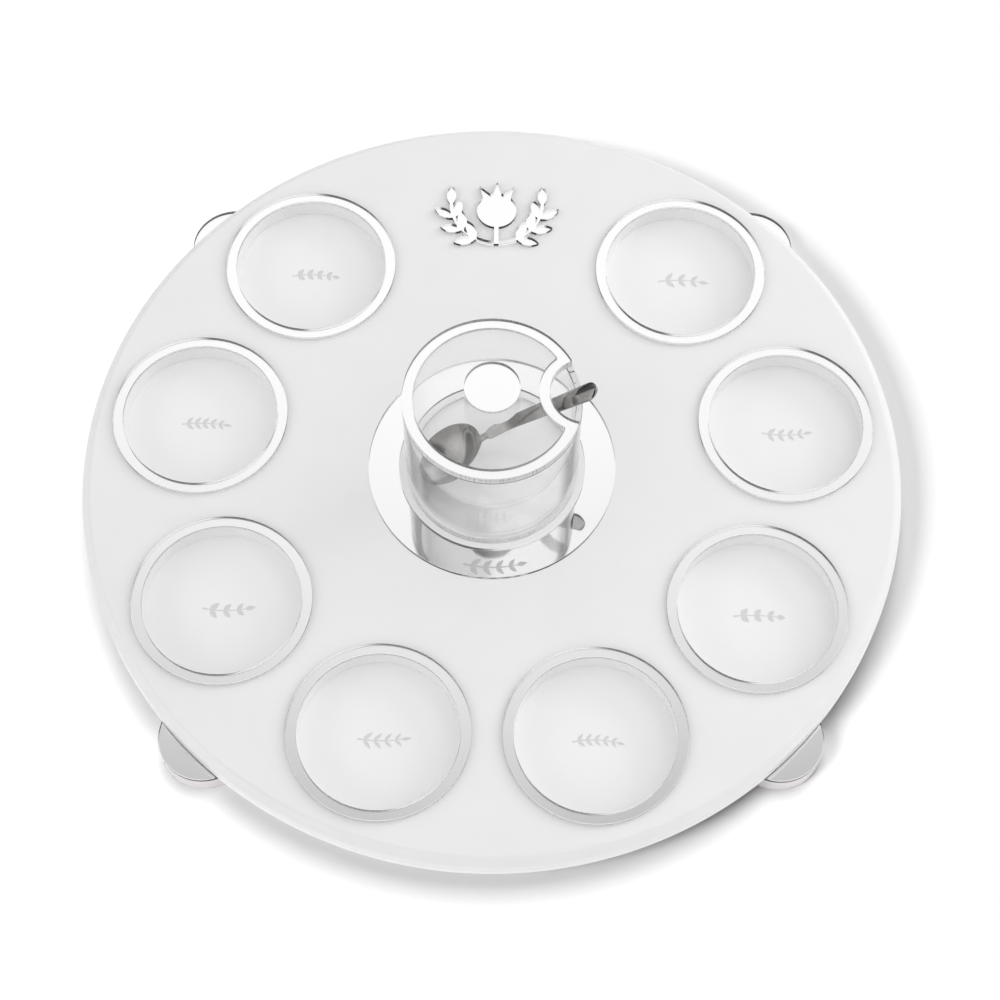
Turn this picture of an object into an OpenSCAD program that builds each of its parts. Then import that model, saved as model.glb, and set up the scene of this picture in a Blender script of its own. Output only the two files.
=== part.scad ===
// Round plate for the symbolic foods of a new-year table, with a lidded honey cup in the middle.
// Cut and bonded acrylic sheet: a white sheet with eight wells on a white base, mirror rings and four feet.
// The origin is on the table under the middle of the plate. +Z is up and +Y is the plate's back.

/* [Plate] */
// Diameter of the plate
plate_d = 400; // [380:1:520]
// Thickness of the white base sheet, whose top is the floor of every well
base_t = 4; // [3:0.5:8]
// Thickness of the white sheet that the wells are cut through
sheet_t = 10; // [6:0.5:16]
// Width of the slope cut along that sheet's top edge
rim_slope = 4; // [1:0.5:5]
// Thickness of the mirror sheet that rings, borders and caps are cut from
mirror_t = 2; // [1.5:0.5:4]

/* [Wells] */
// Diameter of a well
well_d = 76; // [55:1:80]
// Width of the mirror ring round a well
ring_w = 5; // [3:0.5:6]
// Plain border between the rings and the plate's edge
border_w = 10.5; // [6:0.5:20]

/* [Feet] */
// Diameter of a foot
foot_d = 43; // [30:1:60]
// Height of a foot's white disc
foot_h = 11; // [6:0.5:20]
// How far a foot's centre lies inside the plate's edge
foot_inset = 10; // [6:0.5:25]
// Direction of the first foot, turned from the plate's right towards its back
foot_angle = 45.8; // [0:0.1:90]

/* [Honey cup] */
// Outside diameter of the cup
cup_d = 83.5; // [66:0.5:110]
// Height of the cup
cup_h = 66; // [50:1:80]
// Wall of the cup's tube
cup_wall = 3; // [2:0.5:5]
// Thickness of the cup's floor
cup_floor_t = 3; // [2:0.5:6]
// Gap between the cup and the mirror ring that it stands in
seat_gap = 3.5; // [1:0.5:6]
// Width of the mirror ring round the cup
seat_w = 15; // [8:0.5:20]

/* [Lid] */
// Thickness of the clear lid
lid_t = 3; // [2:0.5:6]
// Width of the mirror border on the lid
lid_border_w = 5.1; // [3:0.1:7]
// Radius of the bite that lets the spoon out
bite_r = 16.5; // [10:0.5:20]
// How far the bite's centre lies outside the lid's edge
bite_out = 1.5; // [0:0.5:5]
// Direction of the bite, turned from the plate's right towards its back
bite_angle = 6; // [0:1:359]
// Diameter of the knob
knob_d = 26; // [16:1:32]
// Height of the clear post under the knob's cap
knob_h = 10.5; // [5:0.5:20]

/* [Spoon] */
// Direction of the spoon's handle, turned from the plate's right towards its back
spoon_angle = 4; // [0:1:359]
// Length of the spoon
spoon_l = 109; // [105:1:150]
// Length of the bowl
bowl_l = 38; // [28:1:44]
// Width of the bowl
bowl_w = 28; // [20:1:32]
// Depth of the bowl
bowl_depth = 6; // [3:0.5:8]
// Width of the neck
neck_w = 3.3; // [3:0.1:5]
// Width of the handle where it leaves the neck
handle_root_w = 6.2; // [4:0.1:8]
// Width of the handle near its end
handle_w = 9.5; // [7:0.5:14]
// Thickness of the handle
handle_t = 1.8; // [1.2:0.1:3]
// How far the bowl's tip rests from the cup's wall
tip_clear = 3; // [0.5:0.5:10]

/* [Ornament] */
// Width of the ornament over the tips of its leaves
ornament_w = 64; // [40:1:70]

/* [Hidden] */
$fn = 128;
// Clearance between pieces that lie on each other but move apart
rest_gap = 0.3;
// Bond line round the cup's floor
bond_gap = 0.05;
// Overshoot of a cut past the face it leaves
cut = 1;

// The wells and the ornament share one circle: nine equal places, with the ornament at the back
place_count = 9;
place_pitch = 360 / place_count;
well_count = place_count - 1;
ring_d = well_d + 2 * ring_w;
place_r = plate_d / 2 - border_w - ring_d / 2;

foot_count = 4;
foot_circle_r = plate_d / 2 - foot_inset;

// Levels of the stack, from the table up
base_z = foot_h + mirror_t;
sheet_z = base_z + base_t;
deck_z = sheet_z + sheet_t;
lid_z = deck_z + cup_h;
lid_top_z = lid_z + lid_t;
cup_floor_z = deck_z + cup_floor_t;

cup_r = cup_d / 2;
cup_bore_r = cup_r - cup_wall;
seat_d = cup_d + 2 * seat_gap;

// Shares of the bowl's length: its widest place, and where it starts to rise and to close into the neck
bowl_nose = 0.5 * bowl_l;
rise_start = 0.62 * bowl_l;
rise_l = 1.05 * bowl_l;
// Rise of the handle above the bowl's edge, and the roundness of the handle's top
neck_rise = 4.5;
handle_crown = 0.4;
bowl_t = 1.2;
neck_t = 3;
neck_l = 8;
// Length of the step at the end of the neck, and of the handle's rounded end
shoulder_l = 3.5;
end_l = 4.5;
handle_start = bowl_l + neck_l;
handle_stop = spoon_l - end_l;
spoon_sides = 10;

// Ornament as drawn: bend of its branches, and the leaves along them
bend_r = 24;
leaf_l = 12;
leaf_w = 5;
leaf_spread = 38;
leaf_turns = [-64, -43, -22];
drawn_w = 2 * (bend_r * cos(leaf_turns[2]) + leaf_l * sin(leaf_spread - leaf_turns[2]));

// Place of a well on the circle, counted clockwise from the ornament at the back
function place_angle(i) = 90 - place_pitch * i;

module at_place(i) {
    rotate(place_angle(i)) translate([place_r, 0, 0]) children();
}

module at_foot(i) {
    rotate(foot_angle + 360 / foot_count * (i - 1)) translate([foot_circle_r, 0, 0]) children();
}

module ring(inner_d, width, thickness) {
    difference() {
        cylinder(d = inner_d + 2 * width, h = thickness);
        translate([0, 0, -cut]) cylinder(d = inner_d, h = thickness + 2 * cut);
    }
}

module base_sheet() {
    color("white") translate([0, 0, base_z]) cylinder(d = plate_d, h = base_t);
}

// Half section of the white sheet, with a slope cut along its top edge
module sheet_section() {
    edge = plate_d / 2;
    polygon([[0, 0], [edge, 0], [edge, sheet_t - rim_slope], [edge - rim_slope, sheet_t], [0, sheet_t]]);
}

module well_sheet() {
    color("white") translate([0, 0, sheet_z]) difference() {
        rotate_extrude() sheet_section();
        for (i = [1:well_count])
            at_place(i) translate([0, 0, -cut]) cylinder(d = well_d, h = sheet_t + 2 * cut);
    }
}

module well_ring(i) {
    color("silver") translate([0, 0, deck_z]) at_place(i) ring(well_d, ring_w, mirror_t);
}

module cup_seat_ring() {
    color("silver") translate([0, 0, deck_z]) ring(seat_d, seat_w, mirror_t);
}

// Pointed leaf between two arcs, lying along +X from its stalk
module leaf() {
    arc_r = (leaf_l * leaf_l + leaf_w * leaf_w) / (4 * leaf_w);
    translate([leaf_l / 2, 0]) intersection() {
        translate([0, arc_r - leaf_w / 2]) circle(r = arc_r);
        translate([0, leaf_w / 2 - arc_r]) circle(r = arc_r);
    }
}

// Quarter turn of a bent stem, from the foot of its circle up its right side
module bent_stem(width) {
    intersection() {
        difference() {
            circle(r = bend_r + width / 2);
            circle(r = bend_r - width / 2);
        }
        translate([0, -2 * bend_r]) square(2 * bend_r);
    }
}

// Bent stem with leaves on both sides and one at its tip
module branch() {
    stem_w = 1.8;
    bent_stem(stem_w);
    for (turn = leaf_turns, side = [-1, 1])
        rotate(turn) translate([bend_r, 0]) rotate(90 + side * leaf_spread) leaf();
    translate([bend_r, -1]) rotate(90) leaf();
}

// Round fruit with a three-pointed crown, on a stalk between two leafy branches
module ornament_outline() {
    fruit_r = 10.5;
    crown_w = 5.4;
    crown_h = 8.5;
    crown_spread = 32;
    bend_y = 4;
    stalk_w = 2.4;
    circle(r = fruit_r);
    for (turn = [-crown_spread, 0, crown_spread])
        rotate(turn) translate([0, fruit_r - 1.5])
            polygon([[-crown_w / 2, 0], [crown_w / 2, 0], [0, crown_h]]);
    for (side = [0, 1])
        mirror([side, 0]) translate([0, bend_y]) branch();
    translate([-stalk_w / 2, bend_y - bend_r]) square([stalk_w, bend_r - bend_y - fruit_r + 1]);
}

module back_ornament() {
    color("silver") translate([0, place_r, deck_z]) linear_extrude(mirror_t)
        scale(ornament_w / drawn_w) ornament_outline();
}

module foot_disc(i) {
    color("mistyrose") at_foot(i) cylinder(d = foot_d, h = foot_h);
}

module foot_mirror(i) {
    color("silver") at_foot(i) translate([0, 0, foot_h]) cylinder(d = foot_d, h = mirror_t);
}

module cup_tube() {
    color([0.93, 0.95, 0.96, 0.4]) translate([0, 0, deck_z]) ring(2 * cup_bore_r, cup_wall, cup_h);
}

module cup_floor() {
    color([0.93, 0.95, 0.96, 0.4]) translate([0, 0, deck_z])
        cylinder(r = cup_bore_r - bond_gap, h = cup_floor_t);
}

// Outline of the lid drawn in by a margin all round, along the bite too
module lid_outline(margin) {
    difference() {
        circle(r = cup_r - margin);
        rotate(bite_angle) translate([cup_r + bite_out, 0]) circle(r = bite_r + margin);
    }
}

module lid_panel() {
    color([0.93, 0.95, 0.96, 0.4]) translate([0, 0, lid_z]) linear_extrude(lid_t) lid_outline(0);
}

module lid_border() {
    color("silver") translate([0, 0, lid_top_z]) linear_extrude(mirror_t) difference() {
        lid_outline(0);
        lid_outline(lid_border_w);
    }
}

module knob_post() {
    color([0.93, 0.95, 0.96, 0.4]) translate([0, 0, lid_top_z]) cylinder(d = knob_d, h = knob_h);
}

module knob_cap() {
    color("silver") translate([0, 0, lid_top_z + knob_h]) cylinder(d = knob_d, h = mirror_t);
}

function mix(a, b, share) = a + (b - a) * share;
function ease(x) = let(t = max(0, min(1, x))) t * t * (3 - 2 * t);

// Half width of the spoon's outline at a distance x from the bowl's tip
function half_width(x) =
    x < bowl_nose ? bowl_w / 2 * sqrt(1 - pow(1 - x / bowl_nose, 2)) :
    x < bowl_l ? max(neck_w, bowl_w * sqrt(1 - pow((x - bowl_nose) / (bowl_l - bowl_nose), 2))) / 2 :
    x < handle_start ? mix(neck_w, handle_root_w, ease(1 - (handle_start - x) / shoulder_l)) / 2 :
    x < handle_stop ? mix(handle_root_w, handle_w, (x - handle_start) / (handle_stop - handle_start)) / 2 :
    handle_w / 2 * sqrt(1 - pow((x - handle_stop) / end_l, 2));

// Height of the spoon's edge, which climbs from the bowl to the handle
function edge_height(x) = neck_rise * ease((x - rise_start) / rise_l);

// Dish of the bowl, and crown of the handle, at the middle of the width
function dish(x) =
    bowl_depth * pow(half_width(x) / (bowl_w / 2), 1.3)
    * (1 - ease((x - rise_start) / (bowl_l - rise_start)));
function crown(x) = handle_crown * ease((x - bowl_l) / bowl_nose);

function thickness(x) =
    x < bowl_l ? mix(bowl_t, neck_t, ease((x - rise_start) / (bowl_l - rise_start))) :
    mix(neck_t, handle_t, ease((x - bowl_l) / bowl_l));

// Height of the top and the underside at a share v of the half width, from -1 to 1
function top_height(x, v) = edge_height(x) + (crown(x) - dish(x)) * (1 - v * v);
function under_height(x, v) = top_height(x, v) - thickness(x) * sqrt(1 - 0.75 * v * v);

// Stations along the spoon, closer together where the outline turns
function spoon_stations() = concat(
    [for (turn = [4, 12, 21, 30, 40, 50, 60, 70, 80]) bowl_nose * (1 - cos(turn))],
    [for (turn = [0 : 10 : 80]) bowl_nose + (bowl_l - bowl_nose) * sin(turn)],
    [for (x = [bowl_l : 1 : bowl_l + bowl_nose]) x],
    [for (share = [0.08 : 0.08 : 0.96]) mix(bowl_l + bowl_nose, handle_stop, share)],
    [for (turn = [0, 15, 30, 45, 60, 75, 86]) handle_stop + end_l * sin(turn)]
);

// One loop of points round the spoon at a station: across the top, then back across the underside
function station_loop(x) = concat(
    [for (k = [0:spoon_sides]) let(v = 2 * k / spoon_sides - 1) [x, v * half_width(x), top_height(x, v)]],
    [for (k = [0:spoon_sides]) let(v = 1 - 2 * k / spoon_sides) [x, v * half_width(x), under_height(x, v)]]
);

spoon_points = [for (x = spoon_stations()) each station_loop(x)];

// Underside of the handle above the level of the bowl's edge
handle_under = neck_rise + handle_crown - handle_t;

// At a given lean the bowl stands on the cup's floor and the handle lies on the inner edge of the cup:
// height of the bowl's tip, run along the handle from there to the rim, and place of the tip across
function tip_height(lean) =
    cup_floor_z + rest_gap - min([for (p = spoon_points) p.x * sin(lean) + p.z * cos(lean)]);
function rim_run(lean) =
    (lid_z + rest_gap / cos(lean) - tip_height(lean) - handle_under * cos(lean)) / sin(lean);
function tip_place(lean) = cup_bore_r - rim_run(lean) * cos(lean) + handle_under * sin(lean);

// The lean that leaves the tip clear of the wall opposite the bite, found by halving
function settled_lean(low, high, rounds) =
    let(middle = (low + high) / 2)
        rounds == 0 ? middle :
        tip_place(middle) < tip_clear - cup_bore_r ? settled_lean(middle, high, rounds - 1) :
        settled_lean(low, middle, rounds - 1);
spoon_lean = settled_lean(15, 75, 16);

// Skin over loops of points that follow each other, closed by a cap at each end
module skin(points, loop_n) {
    loops = len(points) / loop_n;
    sides = [
        for (i = [0 : loops - 2], k = [0 : loop_n - 1])
            let(a = i * loop_n + k, b = i * loop_n + (k + 1) % loop_n)
                each [[a, b, a + loop_n], [b, b + loop_n, a + loop_n]]
    ];
    first_cap = [for (k = [loop_n - 1 : -1 : 0]) k];
    last_cap = [for (k = [0 : loop_n - 1]) (loops - 1) * loop_n + k];
    polyhedron(points, concat(sides, [first_cap, last_cap]));
}

module honey_spoon() {
    color("gray") rotate(spoon_angle) translate([tip_place(spoon_lean), 0, tip_height(spoon_lean)])
        rotate([0, -spoon_lean, 0]) skin(spoon_points, 2 * (spoon_sides + 1));
}

base_sheet();
well_sheet();
for (i = [1:well_count])
    well_ring(i);
cup_seat_ring();
back_ornament();
for (i = [1:foot_count]) {
    foot_disc(i);
    foot_mirror(i);
}
cup_tube();
cup_floor();
lid_panel();
lid_border();
knob_post();
knob_cap();
honey_spoon();
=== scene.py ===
"""Looks of a round acrylic festival plate with eight food wells, a lidded honey cup and its spoon."""

import math

import bmesh
import bpy
import numpy as np
from mathutils import Matrix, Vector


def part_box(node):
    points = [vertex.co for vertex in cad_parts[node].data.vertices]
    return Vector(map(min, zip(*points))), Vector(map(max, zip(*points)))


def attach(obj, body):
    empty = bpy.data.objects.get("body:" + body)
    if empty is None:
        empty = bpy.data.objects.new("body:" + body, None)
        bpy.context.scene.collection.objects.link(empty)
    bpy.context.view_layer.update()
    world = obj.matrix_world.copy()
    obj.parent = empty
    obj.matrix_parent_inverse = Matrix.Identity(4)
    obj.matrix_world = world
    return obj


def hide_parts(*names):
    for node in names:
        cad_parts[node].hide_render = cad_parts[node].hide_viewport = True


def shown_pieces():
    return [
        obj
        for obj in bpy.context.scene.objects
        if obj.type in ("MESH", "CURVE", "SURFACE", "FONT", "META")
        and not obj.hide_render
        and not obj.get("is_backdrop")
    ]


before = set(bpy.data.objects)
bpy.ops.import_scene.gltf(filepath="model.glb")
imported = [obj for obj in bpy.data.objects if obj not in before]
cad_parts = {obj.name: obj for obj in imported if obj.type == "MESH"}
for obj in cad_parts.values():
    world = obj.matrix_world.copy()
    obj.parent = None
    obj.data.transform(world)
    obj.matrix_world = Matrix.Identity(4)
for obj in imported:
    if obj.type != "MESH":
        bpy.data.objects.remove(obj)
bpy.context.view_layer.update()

# Sizes that the finish adds, in metres, with its step counts and angles
MM = 0.001
AIR_GAP = 0.03 * MM
EDGE_BREAK = 0.18 * MM
SUPPORT = 0.06 * MM
MERGE = 0.0005 * MM
ARC_STEPS = 4
ROUND_STEPS = 240
SHARP_ANGLE = math.radians(32)
TUBE_BREAK = 0.3 * MM
ORNAMENT_BREAK = 0.12 * MM
ORNAMENT_FLAT = math.radians(0.5)
ORNAMENT_SHARP = math.radians(50)

# How many edge breaks a flat runs in from a cut-out's edge, and out from a well's
CUT_OUT_RUN = 6
WELL_RUN = 8

# How far the normals of downward faces and of upright sides rise
DOWNWARD = (-1.1, -0.97)
UPRIGHT = (-0.3, 0.3)

# How the plate is laid out
PLACE_COUNT = 9
WELL_COUNT = 8
FOOT_COUNT = 4
RIM_SLOPE = 4 * MM
RIM_TOP_ROUND = 2.5 * MM
RIM_LOW_ROUND = 1.5 * MM
RIM_LEAD = 0.6 * RIM_TOP_ROUND
CORE_SHARE = 0.67
SIDE_STEPS = 36
PLACE_STEPS = 72

# The printed sprigs
PRINT_T = 0.05 * MM
PRINT_GAP = 0.01 * MM
LEAF_STEP = 0.005 * MM
LEAF_LEAN = math.radians(46)
LEAF_DRAW = 0.8
LEAF_TAPER = 0.32
LEAF_POINTS = 18
FIRST_PAIR = 0.6
LAST_GAP = 0.25
TIP_LEAF = 0.8
TIP_AT = 0.49
STEM_TAPER = 0.55
STEM_POINTS = 25
WELL_SPRIG_L = 21 * MM
WELL_STEM_T = 0.8 * MM
SEAT_SPRIG_L = 26 * MM
SEAT_STEM_T = 1.1 * MM

# Leaf pairs, leaf length and width, and bend of the sprigs on the eight wells and on the seat, in millimetres
WELL_SPRIGS = [(3, 6.6, 2.6, 0.9), (4, 5.6, 2.1, -1.0), (3, 5.4, 3.2, 0.6), (5, 4.8, 1.7, 1.2),
               (4, 6.2, 1.9, -0.8), (3, 6.0, 2.9, -1.1), (5, 5.2, 2.0, 0.7), (4, 5.0, 2.6, 1.0)]
SEAT_SPRIG = (4, 6.4, 2.7, -1.6)

# The lid's bite and border, as the lid is cut
BITE_R = 16.5 * MM
BITE_OUT = 1.5 * MM
BITE_TURN = math.radians(6)
BORDER_W = 5.1 * MM
LID_STEPS = 200
BITE_STEPS = 60

# The spoon, in its own millimetres: along the handle, across it and up
SPOON_L = 109.0
BOWL_L = 38.0
BOWL_W = 28.0
BOWL_DEPTH = 6.0
NECK_W = 3.3
HANDLE_ROOT_W = 6.2
HANDLE_W = 9.5
HANDLE_T = 1.8
BOWL_NOSE = 0.5 * BOWL_L
RISE_START = 0.62 * BOWL_L
RISE_L = 1.05 * BOWL_L
NECK_RISE = 4.5
HANDLE_CROWN = 0.4
BOWL_T = 1.2
NECK_T = 3.0
NECK_L = 8.0
SHOULDER_L = 3.5
END_L = 4.5
HANDLE_START = BOWL_L + NECK_L
HANDLE_STOP = SPOON_L - END_L
SPEAR_L = 19.0
SPEAR_EASE = 0.3 * SPEAR_L
DISH_POWER = 1.3
ROOF_H = 0.55
ROOF_DIP = 0.25
RIB_H = 0.5
RIB_BACK = 1.5
RIB_W = 1.6
UNDER_ROUND = 0.75

# Points along the spoon's stretches and across it, and the turn that spaces those of the bowl's tail
NOSE_POINTS = 25
TAIL_POINTS = 34
TAIL_SWEEP = math.radians(83)
BODY_POINTS = 120
END_POINTS = 17
ACROSS_POINTS = 37

# Hairline scratches in two directions: turn, grains to the metre each way, and the noise that shows
HAIRLINES = [((0, 0, 0.5), (900, 26, 300), (0.69, 0.73)), ((0, 0, -0.9), (1100, 32, 300), (0.70, 0.74))]

# Values of noise that a finish runs between: the middle of them, most of them, and those of its marks
MIDDLE_NOISE = (0.35, 0.65)
MOST_NOISE = (0.3, 0.7)
PATCH_NOISE = (0.45, 0.62)
DUST_NOISE = (0.77, 0.82)
# The steel's clouds are painted reflection: soft dark and light patches in its tone
PAINTED_REFLECTION_NOISE = (0.34, 0.62)

# Grains of noise to the metre, and the turn of the steel's lines, which run along the handle
PATCH_GRAIN = 22
HAZE_GRAIN = 38
DUST_GRAIN = 1500
FILM_GRAIN = 60
INK_GRAIN = 2600
# Grain of the steel's painted reflection patches
PAINTED_REFLECTION_GRAIN = 55
CUT_GRAINS = (1700, 1700, 60)
STEEL_GRAINS = (30, 900, 900)
STEEL_TURN = (0, 0.66, 0)

# Tones from dark to light, in red, green and blue, and the share of the steel's tone that is painted
# reflection in soft clouds
FILM_TONES = ((0.55, 0.55, 0.56), (0.945, 0.945, 0.945))
FOOT_TONES = ((0.80, 0.755, 0.765), (0.84, 0.80, 0.81))
# The steel's tones span its painted reflections as well as its lines
STEEL_TONES = ((0.17, 0.165, 0.16), (0.47, 0.46, 0.455))
PAINTED_REFLECTION_SHARE = 0.85

# The tone of clear acrylic, and how much it and its bond bend light
CLEAR_TONE = 0.995
ACRYLIC_BENDING = 1.49
BOND_BENDING = 1.015

# Roughness from smooth to rough, and what wear adds to it
CUT_ROUGH = (0.25, 0.45)
FILM_ROUGH = (0.012, 0.03)
PAINT_ROUGH = 0.5
WHITE_ROUGH = (0.38, 0.48)
FOOT_ROUGH = (0.16, 0.28)
INK_ROUGH = (0.5, 0.68)
STEEL_ROUGH = (0.06, 0.12)
CLEAR_WEAR = 0.05
CLEAR_HAZE = 0.006
STEEL_WEAR = 0.12

# Relief: strength, and depth in metres
CUT_RELIEF = (0.2, 0.05 * MM)
FILM_RELIEF = (0.03, 0.2 * MM)
DUST_RELIEF = (0.04, 0.02 * MM)
FOOT_RELIEF = (0.15, 0.05 * MM)
INK_RELIEF = (0.12, 0.02 * MM)
STEEL_RELIEF = (0.06, 0.05 * MM)

# The photograph's camera: place in metres, with its height above the plate's top face, turns in degrees,
# lens and sensor in millimetres, and the nearest thing it sees in metres
CAMERA_AT = (0.00671, -0.46670)
CAMERA_ABOVE = 0.94375
CAMERA_YAW = -0.328
CAMERA_DOWN = 64.589
CAMERA_ROLL = 0.576
CAMERA_LENS = 77.61
SENSOR_W = 36.0
CAMERA_NEAR = 0.01

# The floor and the even light from all round
FLOOR_HALF = 1.1
FLOOR_TONE = 0.8
WORLD_FILL = 0.06

# Lamps for the plate and for the floor: name, place in metres, size in metres, watts
PLATE_LAMPS = [
    ("ceiling_lamp", (0.0, 0.0, 1.3), 10.0, 208.0),
    ("high_key_lamp", (0.87, 0.28, 1.34), 0.8, 2.5),
    ("low_key_lamp", (1.7, 0.8, 0.73), 0.8, 11.0),
    ("left_fill_lamp", (-1.9, -0.65, 0.8), 1.5, 9.0),
    ("front_fill_lamp", (0.5, -1.9, 0.5), 1.2, 4.5),
]
FLOOR_LAMPS = [
    ("floor_side_lamp", (-4.6, -3.09, 5.77), 2.67, 482.0),
    ("floor_back_lamp", (0.54, 2.16, 6.64), 4.17, 412.0),
]

# What mirrors see, by the parts x, y and z of a direction: light walls below a height, and above it a ceiling
# that is light at the front, dark behind a line across it and light again at the back
CEILING_RISE = (0.70, 0.85)
CEILING_LINE = (0.08, 0.22)
CEILING_FRONT = 0.92
CEILING_DARKEST = 0.40
CEILING_MIDDLE = -0.025
CEILING_CURVE = 0.226
CEILING_RUN = (-0.564, 0.513)
CEILING_TONES = (-2.687, 1.057)

# The dark screen over the left: the way to it, the nearness to that way at its edge, and how dark it is
SCREEN_WAY = (-0.416, -0.073, 0.906)
SCREEN_EDGE = (0.82, 0.90)
SCREEN_DARK = 0.97

# The dim horizon that steel sees
HORIZON_RISE = (0.10, 0.60)
HORIZON_DIM = 0.08


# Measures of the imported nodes


def node_points(node):
    """Every point of a node's mesh, as rows of x, y and z in metres."""
    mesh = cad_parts[node].data
    points = np.empty(3 * len(mesh.vertices), np.float32)
    mesh.vertices.foreach_get("co", points)
    return points.reshape(-1, 3).astype(float)


def round_piece(node):
    """Middle, outer radius, inner radius, lowest and highest level of a round upright node."""
    points = node_points(node)
    middle = np.unique(points[:, :2].round(7), axis=0).mean(0)
    reach = np.hypot(*(points[:, :2] - middle).T)
    return middle, reach.max(), reach.min(), points[:, 2].min(), points[:, 2].max()


def place_angle(number):
    """Direction of a place on the circle that the wells and the ornament share, clockwise from the back."""
    return math.pi / 2 - 2 * math.pi / PLACE_COUNT * number


def well_middle(number):
    """Middle of a well, on the circle through the ring's own middle."""
    reach = np.linalg.norm(round_piece(f"well_ring_{number}")[0])
    angle = place_angle(number)
    return reach * np.array([math.cos(angle), math.sin(angle)])


# Shapes


def unit(vector):
    """The vector at length 1."""
    return vector / np.linalg.norm(vector)


def ease(share):
    """A share from 0 to 1 that starts and stops gently: three times its square less twice its cube."""
    held = np.clip(share, 0, 1)
    return held * held * (3 - 2 * held)


def mix(start, stop, share):
    """The value that lies that share of the way from start to stop."""
    return start + (stop - start) * share


def arc_corner(before, corner, after, radius):
    """A corner turned into an arc. Its middle lies on the corner's bisector, the direction from there swings
    evenly from one side's touching point to the other's, and one more point on each side keeps it flat."""
    to_before = unit(before - corner)
    to_after = unit(after - corner)
    half = 0.5 * math.acos(np.dot(to_before, to_after))
    reach = radius / math.tan(half)
    middle = corner + unit(to_before + to_after) * radius / math.sin(half)
    first = unit(corner + to_before * reach - middle)
    last = unit(corner + to_after * reach - middle)
    swing = math.pi - 2 * half
    share = np.linspace(0, 1, ARC_STEPS + 1)[:, None]
    turned = (np.sin((1 - share) * swing) * first + np.sin(share * swing) * last) / math.sin(swing)
    support = min(SUPPORT, radius / 3)
    lead_in = corner + to_before * (reach + support)
    lead_out = corner + to_after * (reach + support)
    return np.vstack([lead_in, middle + radius * turned, lead_out])


def profile(corners, radii, closed):
    """A run of corners in which each one with a radius becomes an arc."""
    corners = np.asarray(corners, float)
    count = len(corners)
    runs = []
    for place, (corner, radius) in enumerate(zip(corners, radii)):
        inner = closed or 0 < place < count - 1
        if radius and inner:
            runs.append(arc_corner(corners[place - 1], corner, corners[(place + 1) % count], radius))
        else:
            runs.append(corner[None])
    return np.vstack(runs)


def grid_faces(rows, columns, wrap_rows, wrap_columns):
    """Quads between neighbouring rows and columns of a grid, and from the last to the first if it wraps."""
    row = np.arange(rows if wrap_rows else rows - 1)
    column = np.arange(columns if wrap_columns else columns - 1)
    row, column = np.meshgrid(row, column, indexing="ij")
    next_row = (row + 1) % rows
    next_column = (column + 1) % columns
    quads = [row * columns + column, next_row * columns + column,
             next_row * columns + next_column, row * columns + next_column]
    return np.stack(quads, -1).reshape(-1, 4)


def build_mesh(name, points, faces, mixed=False):
    """A mesh object from points and faces, with doubles merged and soft shading. The faces look outwards as
    they are given; where they are mixed, they are turned outwards here."""
    mesh = bpy.data.meshes.new(name)
    mesh.from_pydata(points.tolist(), [], faces)
    work = bmesh.new()
    work.from_mesh(mesh)
    bmesh.ops.remove_doubles(work, verts=work.verts, dist=MERGE)
    if mixed:
        bmesh.ops.recalc_face_normals(work, faces=work.faces)
    work.to_mesh(mesh)
    work.free()
    mesh.polygons.foreach_set("use_smooth", np.ones(len(mesh.polygons), bool))
    mesh.set_sharp_from_angle(angle=SHARP_ANGLE)
    piece = bpy.data.objects.new(name, mesh)
    bpy.context.scene.collection.objects.link(piece)
    return piece


def make_piece(name, grids, caps=(), mixed=False):
    """One piece from several grids, each with its points and whether its rows and columns wrap. A cap is a
    grid's number and a column: the points of that column close the shape with one flat face, which looks down
    at the first column and up at the last."""
    points = []
    faces = []
    starts = []
    total = 0
    for grid, wrap_rows, wrap_columns in grids:
        rows, columns = grid.shape[:2]
        faces += (grid_faces(rows, columns, wrap_rows, wrap_columns) + total).tolist()
        points.append(grid.reshape(-1, 3))
        starts.append(total)
        total += rows * columns
    for number, column in caps:
        rows, columns = grids[number][0].shape[:2]
        loop = starts[number] + np.arange(rows) * columns + column % columns
        faces.append((loop[::-1] if column == 0 else loop).tolist())
    return build_mesh(name, np.vstack(points), faces, mixed)


def turned_grid(outline, middle, angles):
    """An outline of radius and height turned about an upright axis: x and y are the radius times the cosine
    and sine of the angle, and z is the height."""
    radius = outline[None, :, 0]
    height = np.broadcast_to(outline[None, :, 1], (len(angles), len(outline)))
    x = middle[0] + radius * np.cos(angles)[:, None]
    y = middle[1] + radius * np.sin(angles)[:, None]
    return np.stack([x, y, height], -1)


def full_turn(steps):
    """Evenly spaced angles once round, without the last."""
    return np.arange(steps) * (2 * math.pi / steps)


def turned_ring(name, middle, outer, inner, low, high, break_top, break_low):
    """A flat ring: a rectangle with broken corners, turned about the ring's middle."""
    corners = [(inner, low), (outer, low), (outer, high), (inner, high)]
    outline = profile(corners, [break_low, break_low, break_top, break_top], True)
    return make_piece(name, [(turned_grid(outline, middle, full_turn(ROUND_STEPS)), True, True)])


def turned_disc(name, middle, radius, low, high, break_top, break_low):
    """A flat disc: half a rectangle with broken corners, turned about the disc's middle."""
    corners = [(0, low), (radius, low), (radius, high), (0, high)]
    outline = profile(corners, [0, break_low, break_top, 0], False)
    return make_piece(name, [(turned_grid(outline, middle, full_turn(ROUND_STEPS)), True, False)])


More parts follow.
